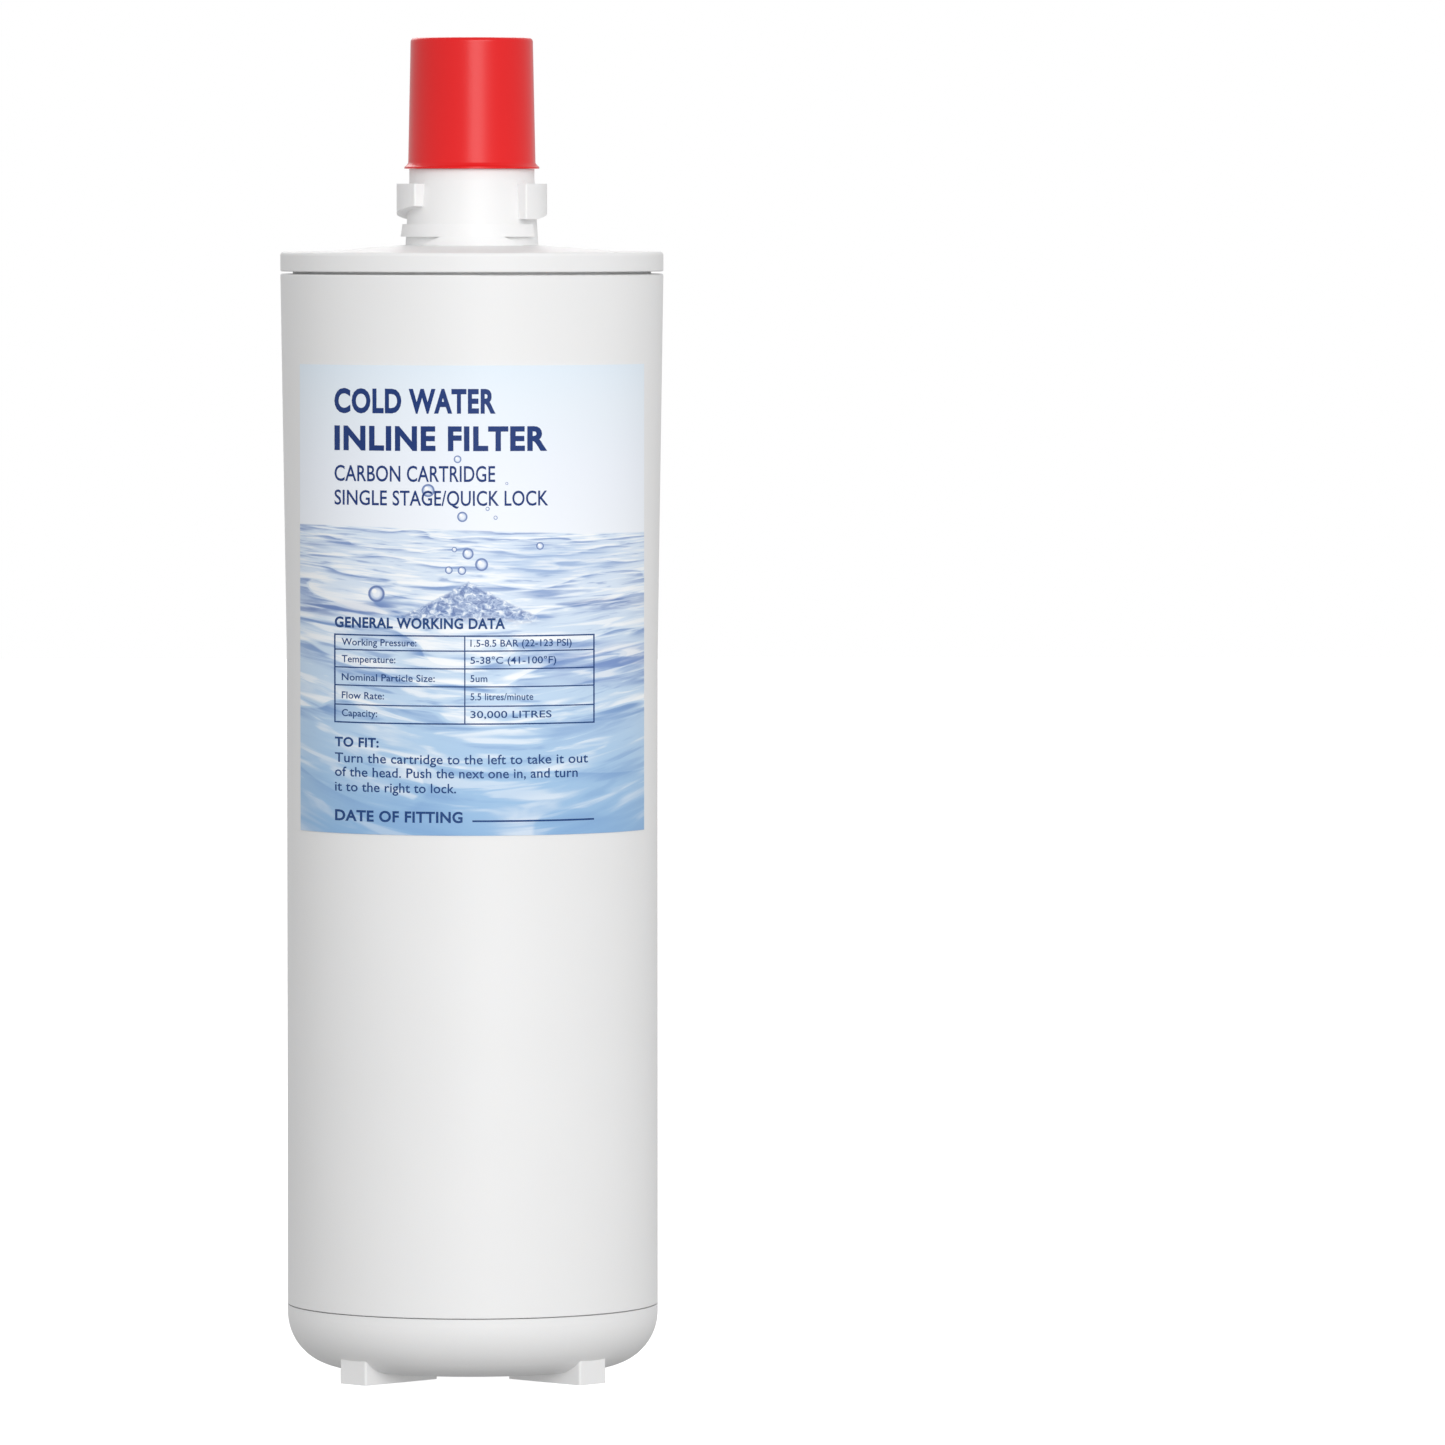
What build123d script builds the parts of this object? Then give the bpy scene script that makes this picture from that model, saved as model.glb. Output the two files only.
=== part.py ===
"""Quick-change water filter cartridge with a pull-off dust cap, in millimetres.

The housing is a moulded canister with a welded base bowl and a welded head closure. The closure carries
a bayonet neck, and a radial-flow carbon element stands inside. Water enters round the element's spout,
runs inwards through the block, and leaves by the spout. +Z is up, along the cartridge's axis. -Y is the
side with the label. The origin is on the axis, in the plane that the four feet stand on.
"""

import os
from math import atan2, ceil, cos, hypot, radians, sin, sqrt

from build123d import *

# ---------------------------------------------------------------- canister
body_r = 40.25  # outside of the straight lower wall
mouth_flare = 1.25  # how much further out the open top end and the closure's rim are
wall = 3.4
straight_len = 142.4
taper_len = 81.0
mouth_edge = 0.3  # rounding of the top outer edge
label_film = 0.12
label_w = 73.9  # straight across, not round the wall
label_h = 100.5
label_drop = 19.3  # from the canister's top end to the label
weld_clear = 0.05  # radial, in both welded joints
bite = 0.5  # how far an added rib or tab runs into what carries it
root_depth = 1.0  # the same, for what stands on the round neck

# ---------------------------------------------------------------- base bowl and feet
foot_h = 2.0
foot_w = 8.0
foot_in_r = 14.8
foot_inset = 3.65  # from the wall's outside to the feet's outer ends
foot_edge = 0.5
foot_count = 4
bowl_h = 13.6  # from the underside of the floor to the seam
bowl_corner = 11.6
floor_t = 3.0
seam_gap = 0.24
seam_depth = 1.2
tongue_h = 5.0
tongue_t = 1.6

# ---------------------------------------------------------------- head closure
rim_gap = 0.55  # open slot between the canister's end and the rim
rim_h = 4.25
rim_overhang = 2.7
rim_edge = 0.8
rim_land_w = 10.7
rim_land_rise = 0.15
dome_h = 1.45
spigot_len = 10.5
spigot_t = 2.4
hold_rib_h = 10.8
hold_rib_t = 1.8
hold_rib_count = 6

# ---------------------------------------------------------------- bayonet neck
neck_r = 13.56
neck_draft = 0.83  # how much wider the neck's foot is
neck_wall = 2.96  # round the roomy lower part of the bore
neck_h = 16.45
neck_land_h = 2.4  # straight part below the shoulder
bore_step_down = 5.45  # from the shoulder to the cone between the two bores
lug_proud = 2.74
lug_top_down = 3.2  # from the shoulder to the lugs' top face
lug_slot = 1.1  # between the lugs and the flange
lug_ramp = 2.9  # rise of the cam face
lug_from = -44.0  # degrees about +Z
lug_to = 41.0
ramp_centre = 6.0
ramp_half = 35.0
lug_edge = 0.4
flange_up = 1.8  # from the neck's base to the flange's underside
flange_h = 2.7
flange_proud = 1.89
flange_draft = 0.4
flange_spans = ((152.0, 331.0), (40.0, 140.0))  # degrees: the wide key and the narrow one
gusset_top_w = 14.0
gusset_foot_w = 22.0

# ---------------------------------------------------------------- nose, spout and seals
nose_step = 1.46  # from the neck in to the nose
nose_wall = 1.48  # under the inlet seal's groove
nose_h = 12.8
nose_edge = 0.7
inlet_ring_section = 2.6
inlet_groove_depth = 2.22
inlet_groove_up = 5.6  # from the shoulder to the groove's centre
groove_side_clear = 0.35
ring_clear = 0.02
inlet_gap = 2.2  # ring-shaped way in, between the spout and the neck's bore
spout_wall = 2.0
spout_proud = 9.8  # above the nose
spout_fit = 0.05  # radial, in the upper end cap
collar_w = 2.4  # the spout's seat on the end cap
collar_t = 1.6
tip_pass = 0.6  # room for the tip to go up through the neck's bore
tip_len = 7.0
tip_cone_h = 1.5
tip_edge = 0.6
outlet_ring_section = 2.4
outlet_groove_depth = 2.05
spout_fin_t = 1.4
spout_fin_h = 12.0
spout_fin_count = 4
fin_clear = 0.2

# ---------------------------------------------------------------- dust cap
cap_headroom = 4.55  # above the spout's tip
cap_fit = 0.09  # between the nose and the top of the cap's bore
cap_draft = 0.58  # how much wider the hem is than the top
cap_wall = 1.05
cap_top_t = 1.2
cap_edge = 0.9
cap_lip = 0.8  # how far the hem's lip stands out
cap_lip_t = 0.4
cap_lip_h = 1.3
cap_seat_gap = 0.05
gate_r = 2.4
gate_depth = 0.35

# ---------------------------------------------------------------- filter element
side_gap = 2.05  # ring-shaped passage between the end caps and the canister
block_bore = 11.0
liner_t = 0.4
core_t = 1.2
core_slot_w = 2.2
core_slot_h = 8.0
core_slot_pitch = 13.0
wrap_t = 2.2
net_strand = 0.6
net_ring_pitch = 9.0
net_strand_count = 20
end_cap_t = 3.5
end_skirt_h = 5.0
end_skirt_t = 1.2
end_skirt_clear = 0.2
end_boss_h = 4.0
boss_clear = 0.1
bond_t = 0.8
element_clear = 0.25  # under the closure's hold-down ribs
tab_count = 6
tab_w = 2.4
tab_h = 6.0
tab_clear = 0.15

# ---------------------------------------------------------------- scale inhibitor cup
cup_side_gap = 11.2  # between the cup and the bowl's tongue
cup_h = 20.0
cup_wall = 1.5
cup_pad_h = 1.2
cup_slot_w = 2.0
cup_slot_count = 10
cup_lid_t = 2.0
plug_h = 2.0
plug_t = 1.4
plug_clear = 0.1
lid_hole_r = 2.0
screen_t = 0.4
bead_r = 3.3
bead_gap = 0.2

# ---------------------------------------------------------------- radii that follow
mouth_r = body_r + mouth_flare
bore_r = body_r - wall
tongue_r = bore_r - weld_clear
hollow_r = tongue_r - tongue_t  # inside the bowl
spigot_r = mouth_r - rim_overhang
counterbore_r = spigot_r + weld_clear
lug_r = neck_r + lug_proud
flange_r = neck_r + flange_proud
nose_r = neck_r - nose_step
inlet_groove_r = nose_r - inlet_groove_depth
neck_bore = inlet_groove_r - nose_wall
neck_bore_low = neck_r - neck_wall
spout_r = neck_bore - inlet_gap
spout_bore = spout_r - spout_wall
tip_r = neck_bore - tip_pass
outlet_groove_r = tip_r - outlet_groove_depth
cap_top_r = nose_r + cap_fit + cap_wall
cap_hem_r = cap_top_r + cap_draft
skirt_r = bore_r - side_gap
skirt_in_r = skirt_r - end_skirt_t
net_r = skirt_in_r - end_skirt_clear
wrap_r = net_r - 2 * net_strand
block_r = wrap_r - wrap_t
liner_r = block_bore - liner_t
core_r = liner_r - core_t
cup_r = hollow_r - cup_side_gap
cup_bore = cup_r - cup_wall

# ---------------------------------------------------------------- heights that follow
z_floor = foot_h
z_inside = z_floor + floor_t
z_seam = z_floor + bowl_h
z_taper = z_seam + straight_len
z_mouth = z_taper + taper_len
z_rim = z_mouth + rim_gap
z_ledge = z_rim - spigot_len
z_rim_top = z_rim + rim_h
z_neck = z_rim_top + dome_h
z_shoulder = z_neck + neck_h
z_nose = z_shoulder + nose_h
z_spout = z_nose + spout_proud
z_hem = z_shoulder + cap_seat_gap
z_cap = z_spout + cap_headroom + cap_top_t
z_lid = z_inside + cup_h
z_bottom_cap = z_lid + cup_lid_t
z_block = z_bottom_cap + end_cap_t + bond_t
z_top_cap = z_rim - hold_rib_h - element_clear - end_cap_t  # underside of the top end cap
z_block_top = z_top_cap - bond_t
z_inlet_ring = z_shoulder + inlet_groove_up
z_outlet_ring = z_spout - tip_len / 2
z_bore_step = z_shoulder - bore_step_down
z_lug_top = z_shoulder - lug_top_down
z_flange = z_neck + flange_up
z_lug = z_flange + flange_h + lug_slot


def revolved(points):
    """The solid of revolution about Z of a closed outline of (radius, height) points."""
    return revolve(make_face(Plane.XZ * Polyline(*points, close=True)), Axis.Z)


def tube(r_in, r_out, z0, z1):
    """A plain ring, or a disc when r_in is 0."""
    return revolved([(r_in, z0), (r_out, z0), (r_out, z1), (r_in, z1)])


def sector(points, start, end):
    """An outline of (radius, height) points swept from one angle about Z to another, in degrees."""
    face = make_face(Plane.XZ * Polyline(*points, close=True))
    return Rot(0, 0, start) * revolve(face, Axis.Z, end - start)


def spoke(angle, r_in, r_out, width, z0, z1):
    """A straight bar that runs outwards from r_in to r_out at an angle about Z."""
    bar = Pos((r_in + r_out) / 2, 0, (z0 + z1) / 2) * Box(r_out - r_in, width, z1 - z0)
    return Rot(0, 0, angle) * bar


def spread(count, first=0.0):
    """Evenly spaced angles about Z, in degrees."""
    return [first + 360.0 * i / count for i in range(count)]


def outside_r(z):
    """The canister's outer radius at a height."""
    share = min(max((z - z_taper) / taper_len, 0.0), 1.0)
    return body_r + (mouth_r - body_r) * share


def circle_edges(solid, r, z):
    """The full-circle edges of a solid at one radius and height."""
    found = solid.edges().filter_by(GeomType.CIRCLE)
    return [e for e in found if abs(e.radius - r) < 0.01 and abs(e.center().Z - z) < 0.01]


def groove(r_bottom, r_land, section, z):
    """The ring of material that a seal's groove takes out of a land."""
    half = section / 2 + groove_side_clear
    return tube(r_bottom, r_land + 1.0, z - half, z + half)


def seal(groove_r, section, z):
    """An O-ring lying in a groove of bottom radius groove_r."""
    return Pos(0, 0, z) * Torus(groove_r + ring_clear + section / 2, section / 2)


# ---------------------------------------------------------------- housing
def canister_tube():
    """The open-ended moulded wall: straight below, then flared to the closure's rim."""
    ledge_in_r = outside_r(z_ledge) - wall
    outline = [
        (bore_r, z_seam),
        (body_r, z_seam),
        (body_r, z_taper),
        (mouth_r, z_mouth),
        (counterbore_r, z_mouth),
        (counterbore_r, z_ledge),
        (min(ledge_in_r, counterbore_r - 0.2), z_ledge),
        (bore_r, z_taper),
    ]
    solid = revolved(outline)
    return fillet(circle_edges(solid, mouth_r, z_mouth), mouth_edge)


def base_bowl():
    """The dished floor with its weld tongue and the feet that stand out below it."""
    land_r = body_r - seam_depth
    step_z = z_seam - seam_gap
    solid = revolved(
        [
            (0, z_floor),
            (body_r, z_floor),
            (body_r, step_z),
            (land_r, step_z),
            (land_r, z_seam),
            (tongue_r, z_seam),
            (tongue_r, z_seam + tongue_h),
            (0, z_seam + tongue_h),
        ]
    )
    corner = min(bowl_corner, bowl_h - seam_gap - 0.2)
    solid = fillet(circle_edges(solid, body_r, z_floor), corner)
    for angle in spread(foot_count, 45.0):
        foot = spoke(0, foot_in_r, body_r - foot_inset, foot_w, 0, z_floor + corner / 2)
        foot = fillet(foot.edges().filter_by(Axis.Z), foot_edge)
        solid += Rot(0, 0, angle) * foot
    hollow = tube(0, hollow_r, z_inside, z_seam + tongue_h + 1)
    inner_corner = min(corner - wall, hollow_r - cup_r - 0.5)
    return solid - fillet(circle_edges(hollow, hollow_r, z_inside), inner_corner)


def bayonet_lug():
    """One upper lug, with the sloping cam face under it."""
    root = neck_r - root_depth
    outline = [(root, z_lug), (lug_r, z_lug), (lug_r, z_lug_top), (root, z_lug_top)]
    lug = sector(outline, lug_from, lug_to)
    corners = [e for e in lug.edges().filter_by(Axis.Z) if hypot(e.center().X, e.center().Y) > neck_r]
    lug = fillet(corners, lug_edge)
    slope = atan2(lug_ramp / 2, lug_r * sin(radians(ramp_half)))
    out = radians(ramp_centre)
    cam = Plane(
        origin=(0, 0, z_lug + lug_ramp / 2),
        x_dir=(cos(out), sin(out), 0),
        z_dir=(sin(slope) * sin(out), -sin(slope) * cos(out), cos(slope)),
    )
    below = Box(4 * lug_r, 4 * lug_r, lug_r, align=(Align.CENTER, Align.CENTER, Align.MAX))
    return lug - cam * below


def key_flange(start, end):
    """One arc of the lower flange, with the gusset that carries its middle."""
    root = neck_r - root_depth
    top = z_flange + flange_h
    outline = [(root, z_flange), (flange_r, z_flange), (flange_r - flange_draft, top), (root, top)]
    arc = sector(outline, start, end)
    side = (start + end) / 2 // 180 * 180 + 90  # the middle of the front, 270, or of the back, 90
    trapezium = [
        (-gusset_top_w / 2, z_flange),
        (gusset_top_w / 2, z_flange),
        (gusset_foot_w / 2, z_neck),
        (gusset_foot_w / 2, z_rim_top),
        (-gusset_foot_w / 2, z_rim_top),
        (-gusset_foot_w / 2, z_neck),
    ]
    web = extrude(make_face(Plane.XZ * Polyline(*trapezium, close=True)), 2 * flange_r, dir=(0, -1, 0))
    web = web & tube(root, flange_r, z_rim_top, z_flange)
    return arc + Rot(0, 0, side - 270) * web


def head_closure():
    """The lid moulding: weld spigot, rim, dome, bayonet neck and the nose that carries the inlet seal."""
    cone_h = neck_bore_low - neck_bore
    solid = revolved(
        [
            (neck_bore_low, z_rim),
            (spigot_r - spigot_t, z_rim),
            (spigot_r - spigot_t, z_ledge),
            (spigot_r, z_ledge),
            (spigot_r, z_rim),
            (mouth_r, z_rim),
            (mouth_r, z_rim_top),
            (mouth_r - rim_land_w, z_rim_top + rim_land_rise),
            (neck_r + neck_draft, z_neck),
            (neck_r, z_shoulder - neck_land_h),
            (neck_r, z_shoulder),
            (nose_r, z_shoulder),
            (nose_r, z_nose - nose_edge),
            (nose_r - nose_edge, z_nose),
            (neck_bore, z_nose),
            (neck_bore, z_bore_step + cone_h),
            (neck_bore_low, z_bore_step),
        ]
    )
    solid = fillet(circle_edges(solid, mouth_r, z_rim_top), rim_edge)
    solid = fillet(circle_edges(solid, mouth_r, z_rim), mouth_edge)
    solid -= groove(inlet_groove_r, nose_r, inlet_ring_section, z_inlet_ring)
    for turn in (0, 180):
        solid += Rot(0, 0, turn) * bayonet_lug()
    for start, end in flange_spans:
        solid += key_flange(start, end)
    rib_in = neck_bore_low + root_depth
    rib_out = spigot_r - spigot_t + bite
    for angle in spread(hold_rib_count):
        solid += spoke(angle, rib_in, rib_out, hold_rib_t, z_rim - hold_rib_h, z_rim + bite)
    return solid


def front_label():
    """The printed film on the front of the canister."""
    top = z_mouth - label_drop
    low = top - label_h
    heights = sorted({low, top} | ({z_taper} if low < z_taper < top else set()))
    inner = [(outside_r(z), z) for z in heights]
    outer = [(outside_r(z) + label_film, z) for z in reversed(heights)]
    film = revolved(inner + outer)
    front = Box(label_w, 2 * mouth_r, label_h + 2, align=(Align.CENTER, Align.MAX, Align.MIN))
    return film & Pos(0, 0, low - 1) * front


def dust_cap():
    """The pull-off cap over the nose, spout and seals."""
    lip_top = cap_hem_r - cap_draft * cap_lip_h / (z_cap - z_hem)
    outer = [
        Line((0, z_cap), (cap_top_r, z_cap)),
        Line((cap_top_r, z_cap), (lip_top, z_hem + cap_lip_h)),
        RadiusArc((lip_top, z_hem + cap_lip_h), (cap_hem_r + cap_lip, z_hem + cap_lip_t), -1.6 * cap_lip_h),
        Line((cap_hem_r + cap_lip, z_hem + cap_lip_t), (cap_hem_r + cap_lip, z_hem)),
        Line((cap_hem_r + cap_lip, z_hem), (cap_hem_r - cap_wall, z_hem)),
        Line((cap_hem_r - cap_wall, z_hem), (cap_top_r - cap_wall, z_cap - cap_top_t)),
        Line((cap_top_r - cap_wall, z_cap - cap_top_t), (0, z_cap - cap_top_t)),
        Line((0, z_cap - cap_top_t), (0, z_cap)),
    ]
    solid = revolve(make_face(Plane.XZ * Curve(outer)), Axis.Z)
    solid = fillet(circle_edges(solid, cap_top_r, z_cap), cap_edge)
    solid = fillet(circle_edges(solid, cap_top_r - cap_wall, z_cap - cap_top_t), cap_edge / 2)
    solid -= tube(0, gate_r, z_cap - gate_depth, z_cap + 1)
    return solid + tube(0, gate_r / 4, z_cap - gate_depth, z_cap - gate_depth / 4)


# ---------------------------------------------------------------- filter element
def centring_tabs(z0, first=0.0):
    """Tabs that keep an end cap clear of the canister's wall."""
    reach = min(outside_r(z0), outside_r(z0 + tab_h)) - wall - tab_clear
    bars = [spoke(a, skirt_r - bite, reach, tab_w, z0, z0 + tab_h) for a in spread(tab_count, first)]
    return Part() + bars


def element_top_cap():
    """The upper end cap, with the socket for the spout."""
    z_top = z_top_cap + end_cap_t
    boss_r = core_r - boss_clear
    socket_r = spout_r + spout_fit
    solid = revolved(
        [
            (socket_r, z_top_cap - end_boss_h),
            (boss_r, z_top_cap - end_boss_h),
            (boss_r, z_top_cap),
            (skirt_in_r, z_top_cap),
            (skirt_in_r, z_top_cap - end_skirt_h),
            (skirt_r, z_top_cap - end_skirt_h),
            (skirt_r, z_top),
            (socket_r, z_top),
        ]
    )
    return solid + centring_tabs(z_top - tab_h, 180.0 / tab_count)


def outlet_spout():
    """The tube that stands in the upper end cap and carries clean water up through the neck."""
    z_seat = z_top_cap + end_cap_t
    z_tip = z_spout - tip_len
    solid = revolved(
        [
            (spout_bore, z_top_cap - end_boss_h),
            (spout_r, z_top_cap - end_boss_h),
            (spout_r, z_seat),
            (spout_r + collar_w, z_seat),
            (spout_r + collar_w, z_seat + collar_t),
            (spout_r, z_seat + collar_t),
            (spout_r, z_tip - tip_cone_h),
            (tip_r, z_tip),
            (tip_r, z_spout - tip_edge),
            (tip_r - tip_edge, z_spout),
            (spout_bore, z_spout),
        ]
    )
    solid -= groove(outlet_groove_r, tip_r, outlet_ring_section, z_outlet_ring)
    fin_r = neck_bore_low - fin_clear
    fin_top = z_bore_step - fin_clear
    for angle in spread(spout_fin_count, 45.0):
        solid += spoke(angle, spout_r - bite, fin_r, spout_fin_t, fin_top - spout_fin_h, fin_top)
    return solid


def element_bottom_cap():
    """The lower end cap, which closes the core."""
    z_top = z_bottom_cap + end_cap_t
    boss_r = core_r - boss_clear
    solid = revolved(
        [
            (0, z_bottom_cap),
            (skirt_r, z_bottom_cap),
            (skirt_r, z_top + end_skirt_h),
            (skirt_in_r, z_top + end_skirt_h),
            (skirt_in_r, z_top),
            (boss_r, z_top),
            (boss_r, z_top + end_boss_h),
            (0, z_top + end_boss_h),
        ]
    )
    return solid + centring_tabs(z_bottom_cap)


def core_tube():
    """The slotted tube that carries clean water up the middle of the block."""
    solid = tube(core_r, liner_r, z_block, z_block_top)
    first = z_block + end_boss_h + core_slot_pitch
    rows = int((z_block_top - end_boss_h - first) / core_slot_pitch)
    for row in range(rows):
        z = first + row * core_slot_pitch
        for angle in spread(3, 60.0 * (row % 2)):
            solid -= Rot(0, 0, angle / 2) * Pos(0, 0, z) * Box(2 * liner_r + 1, core_slot_w, core_slot_h)
    return solid


def outer_netting():
    """Extruded net: hoops against the wrap, and upright strands laid over them."""
    z0 = z_block + net_strand
    z1 = z_block_top - net_strand
    hoops = ceil((z1 - z0) / net_ring_pitch)
    pitch = (z1 - z0 - net_strand) / hoops
    pieces = [
        tube(wrap_r, wrap_r + net_strand, z0 + i * pitch, z0 + i * pitch + net_strand)
        for i in range(hoops + 1)
    ]
    for angle in spread(net_strand_count):
        pieces.append(spoke(angle, wrap_r + net_strand, net_r, net_strand, z0, z1))
    return Compound(children=pieces)


# ---------------------------------------------------------------- scale inhibitor cup
def scale_cup():
    """The slotted cup that holds the phosphate beads under the element."""
    z_cup = z_inside + cup_pad_h
    solid = tube(0, cup_r, z_cup, z_lid) - tube(0, cup_bore, z_cup + cup_wall, z_lid + 1)
    slot_z0 = z_cup + 2 * cup_wall
    slot_z1 = z_lid - plug_h - 2 * cup_wall
    for angle in spread(cup_slot_count):
        solid -= spoke(angle, cup_bore - 1, cup_r + 1, cup_slot_w, slot_z0, slot_z1)
    for angle in spread(3, 90.0):
        solid += spoke(angle, cup_r / 2, cup_bore, cup_slot_w, z_inside, z_cup + cup_wall / 2)
    return solid


def scale_cup_lid():
    """The snap lid, which the element's lower end cap stands on."""
    plug_r = cup_bore - plug_clear
    solid = tube(0, cup_r, z_lid, z_bottom_cap)
    solid += tube(plug_r - plug_t, plug_r, z_lid - plug_h, z_lid + cup_lid_t / 2)
    for angle in spread(6):
        solid -= Rot(0, 0, angle) * Pos(cup_r / 2, 0, z_lid) * Cylinder(lid_hole_r, 4 * cup_lid_t)
    return solid


def scale_beads():
    """Loose glassy beads, in close-packed layers."""
    pitch = 2 * bead_r + bead_gap
    row_step = pitch * sqrt(3) / 2
    layer_step = pitch * sqrt(2 / 3)
    room_r = cup_bore - bead_r - bead_gap
    z_first = z_inside + cup_pad_h + cup_wall + bead_r + bead_gap / 4
    z_last = z_lid - plug_h - screen_t - bead_r
    beads = []
    for layer in range(int((z_last - z_first) / layer_step) + 1):
        shift = (pitch / 2, row_step / 3) if layer % 2 else (0.0, 0.0)
        reach = int(2 * room_r / pitch) + 1
        for row in range(-reach, reach + 1):
            for column in range(-reach, reach + 1):
                x = (column + 0.5 * (row % 2)) * pitch + shift[0]
                y = row * row_step + shift[1]
                if hypot(x, y) < room_r:
                    beads.append(Pos(x, y, z_first + layer * layer_step) * Sphere(bead_r))
    return Compound(children=beads)


def parts():
    """Every sub-part, by node name."""
    return {
        "dust_cap": dust_cap(),
        "head_closure": head_closure(),
        "canister_tube": canister_tube(),
        "base_bowl": base_bowl(),
        "front_label": front_label(),
        "inlet_oring": seal(inlet_groove_r, inlet_ring_section, z_inlet_ring),
        "outlet_oring": seal(outlet_groove_r, outlet_ring_section, z_outlet_ring),
        "element_top_cap": element_top_cap(),
        "outlet_spout": outlet_spout(),
        "element_bottom_cap": element_bottom_cap(),
        "carbon_block": tube(block_bore, block_r, z_block, z_block_top),
        "fines_liner": tube(liner_r, block_bore, z_block, z_block_top),
        "core_tube": core_tube(),
        "prefilter_wrap": tube(block_r, wrap_r, z_block, z_block_top),
        "outer_netting": outer_netting(),
        "top_bond_ring": tube(core_r, wrap_r, z_block_top, z_top_cap),
        "bottom_bond_ring": tube(core_r, wrap_r, z_block - bond_t, z_block),
        "scale_cup": scale_cup(),
        "scale_cup_lid": scale_cup_lid(),
        "cup_screen": tube(0, cup_bore - plug_clear, z_lid - plug_h - screen_t, z_lid - plug_h),
        "scale_beads": scale_beads(),
    }


os.makedirs("parts", exist_ok=True)
for node, shape in parts().items():
    export_step(shape, f"parts/{node}.step")
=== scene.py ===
"""Studio scene of a quick-change water filter cartridge, in metres, in the cartridge's own frame.

+Z is up along the cartridge's axis, and -Y is the side with the label. The housing, the cap and everything
inside come with the frame. The label and its printed words are modelled here, laid on a smooth former that
has the shape of the canister's wall.
"""

from math import radians

import bpy
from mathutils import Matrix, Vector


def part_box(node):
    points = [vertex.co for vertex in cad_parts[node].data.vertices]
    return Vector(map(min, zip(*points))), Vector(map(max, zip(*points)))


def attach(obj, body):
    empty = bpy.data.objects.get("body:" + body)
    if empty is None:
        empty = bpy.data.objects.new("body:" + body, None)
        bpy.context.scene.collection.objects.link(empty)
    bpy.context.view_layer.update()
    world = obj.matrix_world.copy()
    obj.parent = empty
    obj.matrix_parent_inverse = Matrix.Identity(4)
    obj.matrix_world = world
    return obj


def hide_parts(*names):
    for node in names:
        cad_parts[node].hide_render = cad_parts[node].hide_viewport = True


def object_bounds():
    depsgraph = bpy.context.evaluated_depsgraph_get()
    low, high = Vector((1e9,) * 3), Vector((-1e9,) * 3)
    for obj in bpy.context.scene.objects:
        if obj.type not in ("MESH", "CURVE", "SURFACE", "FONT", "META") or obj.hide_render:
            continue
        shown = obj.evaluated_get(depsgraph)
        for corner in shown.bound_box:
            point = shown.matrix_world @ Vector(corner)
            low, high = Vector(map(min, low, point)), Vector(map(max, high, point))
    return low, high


MM = 0.001

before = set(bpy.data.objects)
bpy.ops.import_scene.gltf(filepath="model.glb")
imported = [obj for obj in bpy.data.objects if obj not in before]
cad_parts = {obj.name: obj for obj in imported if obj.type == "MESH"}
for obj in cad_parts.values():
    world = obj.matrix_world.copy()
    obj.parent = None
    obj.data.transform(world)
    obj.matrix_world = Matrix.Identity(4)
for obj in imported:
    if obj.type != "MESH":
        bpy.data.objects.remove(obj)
cad_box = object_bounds()
scene = bpy.context.scene

# ---------------------------------------------------------------- sizes, in millimetres unless said
camera_distance = 2593.0  # from the cartridge's axis, along -Y
camera_height = 256.2
camera_pitch = 2.53  # degrees, down
camera_yaw = 1.20  # degrees, to the right
camera_lens = 297.8
camera_sensor = 36.0

wall_r = 40.25  # outside of the canister's straight wall
taper_from = 158.0  # height at which the wall starts to widen
mouth_z = 239.0
mouth_r = 41.5
label_low, label_high = (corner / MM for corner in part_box("front_label"))
label_left, label_right = label_low.x, label_high.x
label_foot, label_head = label_low.z, label_high.z
label_tall = label_head - label_foot
film = 0.12  # thickness of the label
ink = 0.02
ink_proud = 0.01  # between the label's face and the back of the ink
former_sides = 512
former_margin = 6.0  # how far the former runs past the label, up and down
sheet_columns = 150  # faces across the label, so that it follows the wall's curve
sheet_rows = 16
crease = 30.0  # degrees: a sharper edge than this is shaded as an edge
in_front = 60.0  # where flat work lies before it is laid on the wall
cut_every = 1.0  # spacing of the upright cuts that let the print follow the wall

print_left = -29.4  # the print's left margin
print_right = 26.0
table_column = -1.6
table_rows = (42.7, 39.5, 35.7, 31.85, 27.7, 23.9)  # heights of the rules above the label's foot
frame_rule = 0.3
inner_rule = 0.26
date_rule_h = 3.1  # height of the rule's middle above the label's foot
date_rule_t = 0.38
spread = 2.4  # extra space between letters, for each unit of stroke weight

waterline = 65.2  # the picture's waterline, above the label's foot, at its mean
waterline_swing = 0.9  # how far the waterline rises and sinks across the picture
swing_length = 25.0  # distance across for one radian of that swing
swing_start = 37.0
sea_depth = 66.0  # from the waterline to the foot of the picture
wave_width = 11.0  # scale of the waves across, at the waterline
splash_x = -0.8
splash_half = 16.5  # half of the splash's width
splash_foot = 45.4
splash_rise = 8.0


# ---------------------------------------------------------------- small helpers
def srgb(code):
    """A colour written as sRGB hex, as linear RGBA."""
    parts = [int(code[i : i + 2], 16) / 255 for i in (1, 3, 5)]
    linear = [c / 12.92 if c <= 0.04045 else ((c + 0.055) / 1.055) ** 2.4 for c in parts]
    return (*linear, 1.0)


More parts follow.
